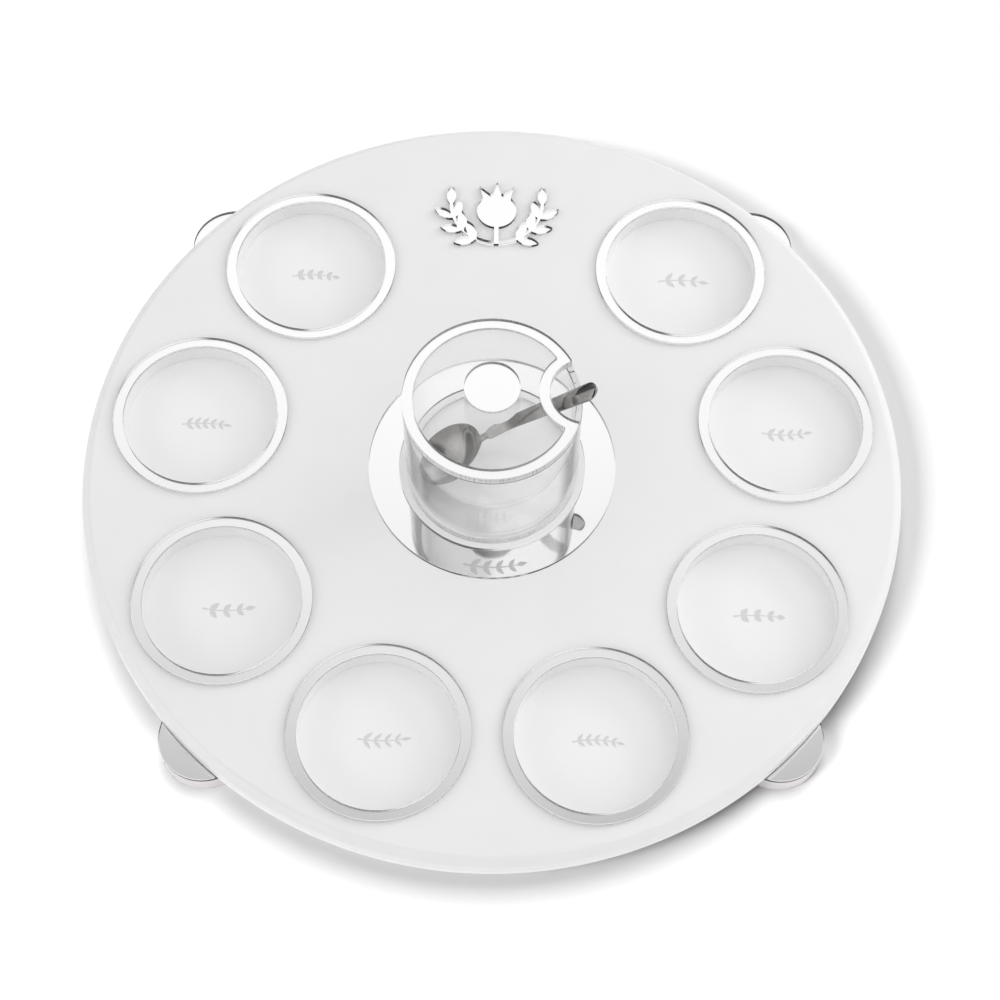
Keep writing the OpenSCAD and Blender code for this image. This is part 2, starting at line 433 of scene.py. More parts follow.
def cut_out_grid(outline, low, high, edge_break):
    """The sides of a flat cut-out: each point of the outline moves inwards along its own normal as the broken
    edge turns from the side to the face."""
    ahead = np.roll(outline, -1, 0) - np.roll(outline, 1, 0)
    inward = np.stack([-ahead[:, 1], ahead[:, 0]], -1) / np.linalg.norm(ahead, axis=1)[:, None]
    deep = CUT_OUT_RUN * edge_break
    corners = [(deep, low), (0, low), (0, high), (deep, high)]
    side = profile(corners, [0, edge_break, edge_break, 0], False)
    flat = outline[:, None] + inward[:, None] * side[None, :, :1]
    height = np.broadcast_to(side[None, :, 1:], (len(outline), len(side), 1))
    return np.concatenate([flat, height], -1)


# Shared effects


def add_node(tree, kind, **values):
    """A new node with its named input sockets set."""
    node = tree.nodes.new(kind)
    for name, value in values.items():
        node.inputs[name.replace("_", " ")].default_value = value
    return node


def feed(tree, value, socket):
    """Links a socket, or sets a plain value."""
    if isinstance(value, bpy.types.NodeSocket):
        tree.links.new(value, socket)
    else:
        socket.default_value = value


def maths(tree, operation, first, second):
    """One sum on two values."""
    node = tree.nodes.new("ShaderNodeMath")
    node.operation = operation
    feed(tree, first, node.inputs[0])
    feed(tree, second, node.inputs[1])
    return node.outputs[0]


def remap(tree, value, low, high, to_low, to_high):
    """A value moved smoothly from one range to another, held at its ends."""
    node = add_node(tree, "ShaderNodeMapRange", From_Min=low, From_Max=high, To_Min=to_low, To_Max=to_high)
    node.interpolation_type = "SMOOTHSTEP"
    feed(tree, value, node.inputs["Value"])
    return node.outputs["Result"]


def blend_values(tree, share, first, second):
    """A value that goes from the first to the second with the share."""
    node = tree.nodes.new("ShaderNodeMix")
    feed(tree, share, node.inputs["Factor"])
    feed(tree, first, node.inputs[2])
    feed(tree, second, node.inputs[3])
    return node.outputs[0]


def noise(tree, where, scale, detail):
    """Soft noise at so many grains to the metre."""
    node = add_node(tree, "ShaderNodeTexNoise", Scale=scale, Detail=detail)
    tree.links.new(where, node.inputs["Vector"])
    return node.outputs["Fac"]


def stretched(tree, where, turn, scale):
    """Coordinates turned and stretched, so that a pattern on them runs one way."""
    node = tree.nodes.new("ShaderNodeMapping")
    node.inputs["Rotation"].default_value = turn
    node.inputs["Scale"].default_value = scale
    tree.links.new(where, node.inputs["Vector"])
    return node.outputs["Vector"]


def new_group(name, inputs, outputs):
    """An empty shader node group with its sockets, and its two end nodes."""
    tree = bpy.data.node_groups.new(name, "ShaderNodeTree")
    for socket, kind in inputs:
        tree.interface.new_socket(socket, in_out="INPUT", socket_type=kind)
    for socket in outputs:
        tree.interface.new_socket(socket, in_out="OUTPUT", socket_type="NodeSocketFloat")
    start = tree.nodes.new("NodeGroupInput")
    stop = tree.nodes.new("NodeGroupOutput")
    return tree, start.outputs, stop.inputs


def handling_marks_group():
    """Marks of handling on polished plastic: Scratch is a mask of sparse hairlines in two directions, Haze a
    soft cloudy value of wiping, and Dust a mask of fine specks."""
    tree, given, result = new_group(
        "handling_marks", [("Where", "NodeSocketVector")], ["Scratch", "Haze", "Dust"])
    where = given["Where"]
    masks = []
    for turn, grains, shown in HAIRLINES:
        lines = noise(tree, stretched(tree, where, turn, grains), 1.0, 1.0)
        masks.append(remap(tree, lines, *shown, 0, 1))
    hairs = maths(tree, "MAXIMUM", *masks)
    patches = remap(tree, noise(tree, where, PATCH_GRAIN, 2), *PATCH_NOISE, 0, 1)
    tree.links.new(maths(tree, "MULTIPLY", hairs, patches), result["Scratch"])
    tree.links.new(remap(tree, noise(tree, where, HAZE_GRAIN, 4), *MOST_NOISE, 0, 1), result["Haze"])
    specks = remap(tree, noise(tree, where, DUST_GRAIN, 0), *DUST_NOISE, 0, 1)
    tree.links.new(specks, result["Dust"])
    return tree


def cut_grain_group():
    """The fine upright lines that a cutting beam leaves on a sheet's sides, as a Height value: noise that is
    close round the piece and long from top to bottom."""
    tree, given, result = new_group("cut_grain", [("Where", "NodeSocketVector")], ["Height"])
    lines = noise(tree, stretched(tree, given["Where"], (0, 0, 0), CUT_GRAINS), 1.0, 2.0)
    tree.links.new(lines, result["Height"])
    return tree


HANDLING = handling_marks_group()
CUT_GRAIN = cut_grain_group()


# Materials


def start_material(name):
    """A new material: itself, its tree, its main shader and its Object coordinates."""
    material = bpy.data.materials.new(name)
    material.use_nodes = True
    tree = material.node_tree
    where = tree.nodes.new("ShaderNodeTexCoord").outputs["Object"]
    return material, tree, tree.nodes["Principled BSDF"], where


def place_group(tree, group, where):
    """A node group on these coordinates; gives its outputs."""
    node = tree.nodes.new("ShaderNodeGroup")
    node.node_tree = group
    tree.links.new(where, node.inputs["Where"])
    return node.outputs


def blend_colours(tree, share, first, second):
    """A colour that goes from the first to the second with the share."""
    node = tree.nodes.new("ShaderNodeMix")
    node.data_type = "RGBA"
    feed(tree, share, node.inputs["Factor"])
    node.inputs[6].default_value = (*first, 1)
    node.inputs[7].default_value = (*second, 1)
    return node.outputs[2]


def bump(tree, shader, height, strength, distance):
    """Small relief from a height value."""
    node = add_node(tree, "ShaderNodeBump", Strength=strength, Distance=distance)
    feed(tree, height, node.inputs["Height"])
    tree.links.new(node.outputs["Normal"], shader.inputs["Normal"])


def clear_acrylic(name, lit_through, bending):
    """Clear cast acrylic that bends light so much. That share of shadow and diffuse rays passes straight
    through, so what lies under it is lit; the rest is lost in its edges."""
    material, tree, shader, where = start_material(name)
    marks = place_group(tree, HANDLING, where)
    shader.inputs["Base Color"].default_value = (CLEAR_TONE, CLEAR_TONE, CLEAR_TONE, 1)
    shader.inputs["IOR"].default_value = bending
    shader.inputs["Transmission Weight"].default_value = 1
    worn = maths(tree, "MULTIPLY", marks["Scratch"], CLEAR_WEAR)
    haze = maths(tree, "MULTIPLY", marks["Haze"], CLEAR_HAZE)
    tree.links.new(maths(tree, "ADD", worn, haze), shader.inputs["Roughness"])
    path = tree.nodes.new("ShaderNodeLightPath").outputs
    passed = tree.nodes.new("ShaderNodeBsdfTransparent")
    joined = tree.nodes.new("ShaderNodeMixShader")
    straight = maths(tree, "MAXIMUM", path["Is Shadow Ray"], path["Is Diffuse Ray"])
    tree.links.new(maths(tree, "MULTIPLY", straight, lit_through), joined.inputs[0])
    tree.links.new(shader.outputs[0], joined.inputs[1])
    tree.links.new(passed.outputs[0], joined.inputs[2])
    tree.links.new(joined.outputs[0], tree.nodes["Material Output"].inputs["Surface"])
    return material


def cut_edge(name, low, high):
    """The sides of cut acrylic: satin grey between two tones, with the upright lines of the cut."""
    material, tree, shader, where = start_material(name)
    lines = place_group(tree, CUT_GRAIN, where)["Height"]
    share = remap(tree, lines, *MIDDLE_NOISE, 0, 1)
    tone = blend_colours(tree, share, (low, low, low), (high, high, high))
    tree.links.new(tone, shader.inputs["Base Color"])
    tree.links.new(remap(tree, lines, *MOST_NOISE, *CUT_ROUGH), shader.inputs["Roughness"])
    bump(tree, shader, lines, *CUT_RELIEF)
    return material


def silver_film():
    """The back of mirror acrylic: a slightly uneven silver film towards the clear, and grey paint outside."""
    material, tree, shader, where = start_material("silver_film")
    marks = place_group(tree, HANDLING, where)
    within = tree.nodes.new("ShaderNodeNewGeometry").outputs["Backfacing"]
    tone = blend_colours(tree, within, *FILM_TONES)
    tree.links.new(tone, shader.inputs["Base Color"])
    tree.links.new(within, shader.inputs["Metallic"])
    polish = remap(tree, marks["Haze"], 0, 1, *FILM_ROUGH)
    tree.links.new(blend_values(tree, within, PAINT_ROUGH, polish), shader.inputs["Roughness"])
    bump(tree, shader, noise(tree, where, FILM_GRAIN, 1), *FILM_RELIEF)
    return material


def white_acrylic(name, low, high):
    """Opaque white acrylic with a soft gloss, faint clouding between two tones and a few specks of dust."""
    material, tree, shader, where = start_material(name)
    marks = place_group(tree, HANDLING, where)
    tone = blend_colours(tree, marks["Haze"], (low, low, low), (high, high, high))
    tree.links.new(tone, shader.inputs["Base Color"])
    tree.links.new(remap(tree, marks["Haze"], 0, 1, *WHITE_ROUGH), shader.inputs["Roughness"])
    bump(tree, shader, marks["Dust"], *DUST_RELIEF)
    return material


def foot_acrylic():
    """Faintly pink white acrylic of the feet, with the upright lines of its cut side."""
    material, tree, shader, where = start_material("foot_acrylic")
    marks = place_group(tree, HANDLING, where)
    tone = blend_colours(tree, marks["Haze"], *FOOT_TONES)
    tree.links.new(tone, shader.inputs["Base Color"])
    tree.links.new(remap(tree, marks["Haze"], 0, 1, *FOOT_ROUGH), shader.inputs["Roughness"])
    bump(tree, shader, place_group(tree, CUT_GRAIN, where)["Height"], *FOOT_RELIEF)
    return material


def grey_print(name, low, high):
    """Grey print between two tones, with the grain of a screened ink."""
    material, tree, shader, where = start_material(name)
    grain = noise(tree, where, INK_GRAIN, 2)
    share = remap(tree, grain, *MIDDLE_NOISE, 0, 1)
    tone = blend_colours(tree, share, (low, low, low), (high, high, high))
    tree.links.new(tone, shader.inputs["Base Color"])
    tree.links.new(remap(tree, grain, *MOST_NOISE, *INK_ROUGH), shader.inputs["Roughness"])
    bump(tree, shader, grain, *INK_RELIEF)
    return material


def spoon_steel():
    """Polished stainless steel with fine lines along the handle, soft handling marks, and painted reflection
    in soft clouds.
    """
    material, tree, shader, where = start_material("spoon_steel")
    marks = place_group(tree, HANDLING, where)
    lines = noise(tree, stretched(tree, where, STEEL_TURN, STEEL_GRAINS), 1.0, 3.0)
    # Soft clouds of painted reflection, darkening and lightening the steel's tone
    painted_reflections = remap(tree, noise(tree, where, PAINTED_REFLECTION_GRAIN, 0), *PAINTED_REFLECTION_NOISE, 0, 1)
    shade = blend_values(tree, PAINTED_REFLECTION_SHARE, remap(tree, lines, *MIDDLE_NOISE, 0, 1), painted_reflections)
    tone = blend_colours(tree, shade, *STEEL_TONES)
    tree.links.new(tone, shader.inputs["Base Color"])
    shader.inputs["Metallic"].default_value = 1
    dulled = maths(tree, "MULTIPLY", marks["Scratch"], STEEL_WEAR)
    polish = remap(tree, marks["Haze"], 0, 1, *STEEL_ROUGH)
    tree.links.new(maths(tree, "ADD", polish, dulled), shader.inputs["Roughness"])
    bump(tree, shader, lines, *STEEL_RELIEF)
    return material


CLEAR = clear_acrylic("clear_acrylic", 1.0, ACRYLIC_BENDING)
BONDED_CLEAR = clear_acrylic("bonded_clear_acrylic", 1.0, BOND_BENDING)
MIRROR_BODY = clear_acrylic("mirror_body", 0.05, ACRYLIC_BENDING)
CUT_EDGE = cut_edge("cut_edge", 0.62, 0.80)
# Near-black sides for the foot tops: painted shade for the dark line along their near edges
PAINTED_SHADE_EDGE = cut_edge("painted_shade_cut_edge", 0.03, 0.06)
SILVER = silver_film()
WHITE = white_acrylic("white_acrylic", 0.885, 0.90)
# A whiter copy of the sheet's white acrylic for the base: painted light that brightens the well floors
# against their shade
LIGHTENED_WHITE = white_acrylic("painted_light_white_acrylic", 0.95, 0.96)
FOOT = foot_acrylic()
PRINT = grey_print("pale_print", 0.70, 0.75)
SEAT_PRINT = grey_print("seat_print", 0.50, 0.56)
STEEL = spoon_steel()


def finish_piece(piece, body, slot, nodes, *materials):
    """Gives a piece its materials and the body it rides on, and hides the nodes it stands for. The slot is
    not used.
    """
    for material in materials:
        piece.data.materials.append(material)
    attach(piece, body)
    if nodes:
        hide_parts(*nodes)
    return piece


def set_faces(piece, low, high, number):
    """Faces whose normal rises between two values take the piece's material of that number."""
    polygons = piece.data.polygons
    normals = np.empty(3 * len(polygons), np.float32)
    polygons.foreach_get("normal", normals)
    numbers = np.empty(len(polygons), np.int32)
    polygons.foreach_get("material_index", numbers)
    rise = normals[2::3]
    polygons.foreach_set("material_index", np.where((rise > low) & (rise < high), number, numbers))


def mirror_piece(piece, body, node, clear=MIRROR_BODY, side=None):
    """A piece of mirror acrylic: clear, its underside silvered, and its cut side satin where one is given."""
    finish_piece(piece, body, "mirror_acrylic", [node], clear, SILVER, side or clear)
    set_faces(piece, *DOWNWARD, 1)
    set_faces(piece, *UPRIGHT, 2)
    return piece


# The plate


def well_sector(angle, middle, well_r, core_r, rim_r, low, high, side_steps, arc_steps):
    """One place of the white sheet, with its well. The outline is a sector between two radii; each of its
    points is joined, straight towards the well's middle, to the well's wall, down it, and back out below."""
    half = math.pi / PLACE_COUNT
    side = np.linspace(core_r, rim_r, side_steps + 1)
    arc = np.linspace(half, -half, arc_steps + 1)
    radius = np.concatenate([side[:-1], np.full(arc_steps, rim_r), side[:0:-1], np.full(arc_steps, core_r)])
    turn = np.concatenate([np.full(side_steps, half), arc[:-1], np.full(side_steps, -half), arc[:0:-1]])
    outline = np.stack([radius * np.cos(angle + turn), radius * np.sin(angle + turn)], -1)
    away = outline - middle
    away /= np.linalg.norm(away, axis=1)[:, None]
    far = well_r + WELL_RUN * EDGE_BREAK
    corners = [(far, high), (well_r, high), (well_r, low), (far, low)]
    wall = profile(corners, [0, EDGE_BREAK, EDGE_BREAK, 0], False)
    flat = middle + away[:, None] * wall[None, :, :1]
    flat = np.concatenate([outline[:, None], flat, outline[:, None]], 1)
    height = np.concatenate([[high], wall[:, 1], [low]])
    height = np.broadcast_to(height[None, :, None], (*flat.shape[:2], 1))
    return np.concatenate([flat, height], -1)


def flat_sector(angle, core_r, rim_r, level, side_steps, arc_steps):
    """The place without a well, at one level: radius by angle."""
    half = math.pi / PLACE_COUNT
    radius = np.linspace(core_r, rim_r, side_steps + 1)[:, None]
    turn = angle + np.linspace(half, -half, arc_steps + 1)[None]
    height = np.full((side_steps + 1, arc_steps + 1), level)
    return np.stack([radius * np.cos(turn), radius * np.sin(turn), height], -1)


def make_well_sheet():
    """The white sheet, closed: eight places with wells, one without, the middle and the sloped rim."""
    low, high = (corner.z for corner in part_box("well_sheet"))
    low += AIR_GAP
    plate_r = np.hypot(*node_points("well_sheet")[:, :2].T).max()
    rim_r = plate_r - RIM_SLOPE - RIM_LEAD
    core_r = CORE_SHARE * np.linalg.norm(well_middle(1))
    grids = []
    for number in range(1, WELL_COUNT + 1):
        well_r = round_piece(f"well_ring_{number}")[2]
        sector = well_sector(place_angle(number), well_middle(number), well_r, core_r, rim_r, low, high,
                             SIDE_STEPS, PLACE_STEPS)
        grids.append((sector, True, False))
    back = math.pi / 2
    for level in (low, high):
        sector = flat_sector(back, core_r, rim_r, level, SIDE_STEPS, PLACE_STEPS)
        grids.append((sector, False, False))
    angles = back + math.pi / PLACE_COUNT + full_turn(PLACE_COUNT * PLACE_STEPS)
    for level in (low, high):
        core = np.array([(0, level), (core_r, level)])
        grids.append((turned_grid(core, (0, 0), angles), True, False))
    corners = [(rim_r, high), (plate_r - RIM_SLOPE, high), (plate_r, high - RIM_SLOPE), (plate_r, low),
               (rim_r, low)]
    rim = profile(corners, [0, RIM_TOP_ROUND, RIM_LOW_ROUND, EDGE_BREAK, 0], False)
    grids.append((turned_grid(rim, (0, 0), angles), True, False))
    piece = make_piece("white_well_sheet", grids, mixed=True)
    return finish_piece(piece, "plate", "white_acrylic", ["well_sheet"], WHITE)


def make_plate():
    """Base sheet, rings, seat ring and feet."""
    middle, radius, _, low, high = round_piece("base_sheet")
    base = turned_disc("white_base_sheet", middle, radius, low, high, EDGE_BREAK, 2 * EDGE_BREAK)
    # The base sheet, and so the well floors, takes the whiter copy as painted light
    finish_piece(base, "plate", "white_acrylic", ["base_sheet"], LIGHTENED_WHITE)
    rings = [f"well_ring_{number}" for number in range(1, WELL_COUNT + 1)]
    for node in rings + ["cup_seat_ring"]:
        middle, outer, inner, low, high = round_piece(node)
        ring = turned_ring(f"mirror_{node}", middle, outer, inner, low + AIR_GAP, high, EDGE_BREAK,
                           EDGE_BREAK / 3)
        mirror_piece(ring, "plate", node, CLEAR if node == "cup_seat_ring" else MIRROR_BODY)
    for number in range(1, FOOT_COUNT + 1):
        node = f"foot_disc_{number}"
        middle, radius, _, low, high = round_piece(node)
        disc = turned_disc(f"round_foot_{number}", middle, radius, low, high, EDGE_BREAK, 4 * EDGE_BREAK)
        finish_piece(disc, "plate", "foot_acrylic", [node], FOOT)
        node = f"foot_mirror_{number}"
        middle, radius, _, low, high = round_piece(node)
        cap = turned_disc(f"foot_top_{number}", middle, radius, low + AIR_GAP, high - AIR_GAP, 2 * EDGE_BREAK,
                          EDGE_BREAK / 3)
        # The foot top's side is near-black painted shade
        mirror_piece(cap, "plate", node, side=PAINTED_SHADE_EDGE)


# Leaf sprigs, printed on the well floors and on the back of the seat ring


def leaf_outline(length, width):
    """A pointed leaf from its root at the origin along x: half its width is the sine of half a turn along it,
    drawn out towards the tip."""
    share = np.linspace(0, 1, LEAF_POINTS)
    half = 0.5 * width * np.sin(math.pi * share ** LEAF_DRAW)
    upper = np.stack([length * share, half], -1)
    lower = np.stack([length * share, -half], -1)[-2:0:-1]
    return np.vstack([lower[::-1], upper[::-1]])


def placed(outline, at, turn):
    """An outline turned and moved to its place."""
    spin = np.array([[math.cos(turn), math.sin(turn)], [-math.sin(turn), math.cos(turn)]])
    return outline @ spin + np.asarray(at)


def sprig_outlines(sprig, length, thick):
    """A lying sprig: a stem on a shallow arc that sags or rises by the bend, leaves in pairs that lean
    forward from it, shorter towards the tip, and one leaf at its end."""
    pairs = sprig[0]
    leaf_l, leaf_w, bend = np.array(sprig[1:]) * MM
    share = np.linspace(0, 1, STEM_POINTS)
    stem_x = length * (share - 0.5)
    stem_y = bend * (1 - (2 * share - 1) ** 2)
    half = 0.5 * thick * (1 - STEM_TAPER * share)
    stem = np.vstack([np.stack([stem_x, stem_y - half], -1), np.stack([stem_x, stem_y + half], -1)[::-1]])
    outlines = [stem]
    for number in range(pairs):
        along = (number + FIRST_PAIR) / (pairs + LAST_GAP)
        at = (length * (along - 0.5), bend * (1 - (2 * along - 1) ** 2))
        slope = math.atan2(-4 * bend * (2 * along - 1), length)
        size = 1 - LEAF_TAPER * along
        leaf = leaf_outline(leaf_l * size, leaf_w * size)
        for side in (-1, 1):
            outlines.append(placed(leaf, at, slope + side * LEAF_LEAN))
    tip_slope = math.atan2(-4 * bend, length)
    tip_leaf = leaf_outline(TIP_LEAF * leaf_l, TIP_LEAF * leaf_w)
    outlines.append(placed(tip_leaf, (TIP_AT * length, 0), tip_slope))
    return outlines


def make_sprig(name, middle, level, outlines, material, slot):
    """A flat sprig of thin cut-outs, each with its own faces, at one place on the plate."""
    grids = []
    caps = []
    for number, outline in enumerate(outlines):
        low = level + number * LEAF_STEP
        sides = cut_out_grid(outline + np.asarray(middle), low, low + PRINT_T, PRINT_T / 4)
        grids.append((sides, True, False))
        caps += [(number, 0), (number, -1)]
    piece = make_piece(name, grids, caps)
    return finish_piece(piece, "plate", slot, [], material)


def make_sprigs():
    """One printed sprig on each well's floor, and one behind the clear front of the seat ring."""
    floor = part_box("base_sheet")[1].z
    for number, sprig in enumerate(WELL_SPRIGS, 1):
        outlines = sprig_outlines(sprig, WELL_SPRIG_L, WELL_STEM_T)
        make_sprig(f"well_sprig_{number}", well_middle(number), floor + PRINT_GAP, outlines, PRINT,
                   "white_acrylic")
    _, outer, inner, low, _ = round_piece("cup_seat_ring")
    outlines = sprig_outlines(SEAT_SPRIG, SEAT_SPRIG_L, SEAT_STEM_T)
    middle = (0, -0.5 * (outer + inner))
    make_sprig("seat_sprig", middle, low + 2 * AIR_GAP, outlines, SEAT_PRINT, "mirror_acrylic")


def make_ornament():
    """The raised mirror cut-out at the back: its own mesh with the long edges broken."""
    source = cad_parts["back_ornament"].data
    points = node_points("back_ornament")
    points[:, 2] = np.where(points[:, 2] < points[:, 2].mean(), points[:, 2] + AIR_GAP, points[:, 2])
    corners = np.empty(3 * len(source.polygons), np.int32)
    source.polygons.foreach_get("vertices", corners)
    piece = build_mesh("mirror_back_ornament", points, corners.reshape(-1, 3).tolist())
    work = bmesh.new()
    work.from_mesh(piece.data)
    bmesh.ops.dissolve_limit(work, angle_limit=ORNAMENT_FLAT, verts=work.verts, edges=work.edges)
    work.to_mesh(piece.data)
    work.free()
    mirror_piece(piece, "plate", "back_ornament")
    edge = piece.modifiers.new("broken_edge", "BEVEL")
    edge.width = ORNAMENT_BREAK
    edge.segments = 2
    edge.limit_method = "ANGLE"
    edge.angle_limit = ORNAMENT_SHARP
    edge.harden_normals = True
    return piece


# The honey cup and its lid


def lid_outline(margin, lid_r):
    """The lid's outline, a margin inside its edge: most of a circle, then the bite's arc, which curves
    inwards. The two meet where their distances from both middles agree."""
    radius = lid_r - margin
    bite = BITE_R + margin
    apart = lid_r + BITE_OUT
    meet = math.acos((radius ** 2 + apart ** 2 - bite ** 2) / (2 * radius * apart))
    open_half = math.acos((bite ** 2 + apart ** 2 - radius ** 2) / (2 * bite * apart))
    round_turn = np.linspace(meet, 2 * math.pi - meet, LID_STEPS + 1)[:-1]
    bite_turn = math.pi + np.linspace(open_half, -open_half, BITE_STEPS + 1)[:-1]
    circle = np.stack([radius * np.cos(round_turn), radius * np.sin(round_turn)], -1)
    hollow = np.stack([apart + bite * np.cos(bite_turn), bite * np.sin(bite_turn)], -1)
    return placed(np.vstack([circle, hollow]), (0, 0), BITE_TURN)


def lid_panel_grid(lid_r, low, high, edge_break):
    """The sides of the lid: its outline at each margin and level of a side with broken corners."""
    deep = CUT_OUT_RUN * edge_break
    side = profile([(deep, low), (0, low), (0, high), (deep, high)], [0, edge_break, edge_break, 0], False)
    rings = [np.insert(lid_outline(margin, lid_r), 2, level, 1) for margin, level in side]
    return np.stack(rings, 1)


def border_grid(outer, inner, low, high, edge_break):
    """A band between two matching outlines: a rectangle with broken corners, its width measured as a share of
    the way from the outer to the inner one."""
    corners = [(0, low), (0, high), (BORDER_W, high), (BORDER_W, low)]
    section = profile(corners, [edge_break / 3, edge_break, edge_break, edge_break / 3], True)
    share = section[None, :, :1] / BORDER_W
    flat = mix(outer[:, None], inner[:, None], share)
    height = np.broadcast_to(section[None, :, 1:], (len(outer), len(section), 1))
    return np.concatenate([flat, height], -1)


def make_cup():
    """The clear tube, its floor, the lid with its mirror border, and the knob."""
    middle, outer, inner, low, high = round_piece("cup_tube")
    tube = turned_ring("clear_cup_tube", middle, outer, inner, low + AIR_GAP, high - AIR_GAP, TUBE_BREAK,
                       TUBE_BREAK)
    finish_piece(tube, "honey_cup", "clear_acrylic", ["cup_tube"], CLEAR)
    middle, radius, _, low, high = round_piece("cup_floor")
    floor = turned_disc("clear_cup_floor", middle, radius, low + AIR_GAP, high, EDGE_BREAK, EDGE_BREAK)
    finish_piece(floor, "honey_cup", "clear_acrylic", ["cup_floor"], CLEAR, CUT_EDGE)
    set_faces(floor, *UPRIGHT, 1)
    lid_r = outer
    low, high = (corner.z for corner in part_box("lid_panel"))
    panel_grid = lid_panel_grid(lid_r, low, high, EDGE_BREAK)
    panel = make_piece("clear_lid_panel", [(panel_grid, True, False)], [(0, 0), (0, -1)])
    finish_piece(panel, "lid", "clear_acrylic", ["lid_panel"], CLEAR, CUT_EDGE)
    set_faces(panel, *UPRIGHT, 1)
    low, high = (corner.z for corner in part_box("lid_border"))
    band = border_grid(lid_outline(0, lid_r), lid_outline(BORDER_W, lid_r), low + AIR_GAP, high, EDGE_BREAK)
    mirror_piece(make_piece("mirror_lid_border", [(band, True, True)]), "lid", "lid_border", side=CUT_EDGE)
    middle, radius, _, low, high = round_piece("knob_post")
    post = turned_disc("clear_knob_post", middle, radius, low + AIR_GAP, high, EDGE_BREAK, EDGE_BREAK)
    finish_piece(post, "lid", "clear_acrylic", ["knob_post"], BONDED_CLEAR)
    middle, radius, _, low, high = round_piece("knob_cap")
    cap = turned_disc("mirror_knob_cap", middle, radius, low + AIR_GAP, high, EDGE_BREAK, EDGE_BREAK / 3)
    mirror_piece(cap, "lid", "knob_cap", side=CUT_EDGE)


# The spoon


def spoon_pose():
    """The spoon's lean, the direction it points and the place of its bowl's tip, read from its node: the
    point lowest along that direction is the tip, and the highest point is the end of the handle."""
    points = node_points("honey_spoon")
    end = points[points[:, 2].argmax()]
    turn = math.atan2(end[1], end[0])
    along = points[:, 0] * math.cos(turn) + points[:, 1] * math.sin(turn)
    tip = along.argmin()
    reach = math.hypot(end[0], end[1]) - along[tip]
    rise = end[2] - points[tip, 2]
    lean = math.atan2(rise, reach) - math.atan2(NECK_RISE + HANDLE_CROWN, SPOON_L)
    return lean, turn, along[tip], points[tip, 2]


def spoon_half_width(x):
    """Half the spoon's width: an ellipse round the bowl, cut off by the neck, an eased step to the handle, a
    straight widening, and half an ellipse at the end."""
    nose = BOWL_W / 2 * np.sqrt(np.maximum(0, 1 - (1 - x / BOWL_NOSE) ** 2))
    tail = BOWL_W / 2 * np.sqrt(np.maximum(0, 1 - ((x - BOWL_NOSE) / (BOWL_L - BOWL_NOSE)) ** 2))
    bowl = np.maximum(tail, NECK_W / 2)
    neck = mix(NECK_W, HANDLE_ROOT_W, ease(1 - (HANDLE_START - x) / SHOULDER_L)) / 2
    handle = mix(HANDLE_ROOT_W, HANDLE_W, (x - HANDLE_START) / (HANDLE_STOP - HANDLE_START)) / 2
    end = HANDLE_W / 2 * np.sqrt(np.maximum(0, 1 - ((x - HANDLE_STOP) / END_L) ** 2))
    stretches = [x < BOWL_NOSE, x < BOWL_L, x < HANDLE_START, x < HANDLE_STOP]
    return np.select(stretches, [nose, bowl, neck, handle], end)


def spoon_heights(x, across):
    """Top and underside of the spoon. The edge line rises from the bowl to the handle; the bowl dips below it
    and the handle is crowned above it, both as one less the square of the place across; the end is a low
    roof, and a rib crosses the neck. The thickness closes to nothing at the rounded edges."""
    edge = NECK_RISE * ease((x - RISE_START) / RISE_L)
    full = spoon_half_width(x) / (BOWL_W / 2)
    dish = BOWL_DEPTH * full ** DISH_POWER * (1 - ease((x - RISE_START) / (BOWL_L - RISE_START)))
    crown = HANDLE_CROWN * ease((x - BOWL_L) / BOWL_NOSE)
    shape = 1 - across ** 2
    spear = ease((x - (SPOON_L - SPEAR_L)) / SPEAR_EASE)
    roof = ROOF_H * (1 - np.abs(across)) - ROOF_DIP * shape
    rib = RIB_H * np.exp(-((x - HANDLE_START + RIB_BACK) / RIB_W) ** 2) * (1 - across ** 4)
    top = edge + (crown - dish) * shape + spear * roof + rib
    thick_bowl = mix(BOWL_T, NECK_T, ease((x - RISE_START) / (BOWL_L - RISE_START)))
    thick_handle = mix(NECK_T, HANDLE_T, ease((x - BOWL_L) / BOWL_L))
    thick = np.where(x < BOWL_L, thick_bowl, thick_handle)
    under = edge + (crown - dish) * shape - thick * np.sqrt(1 - UNDER_ROUND * across ** 2)
    middle = (top + under) / 2
    half = (top - under) / 2 * np.sqrt(np.maximum(0, 1 - across ** 8))
    return middle + half, middle - half


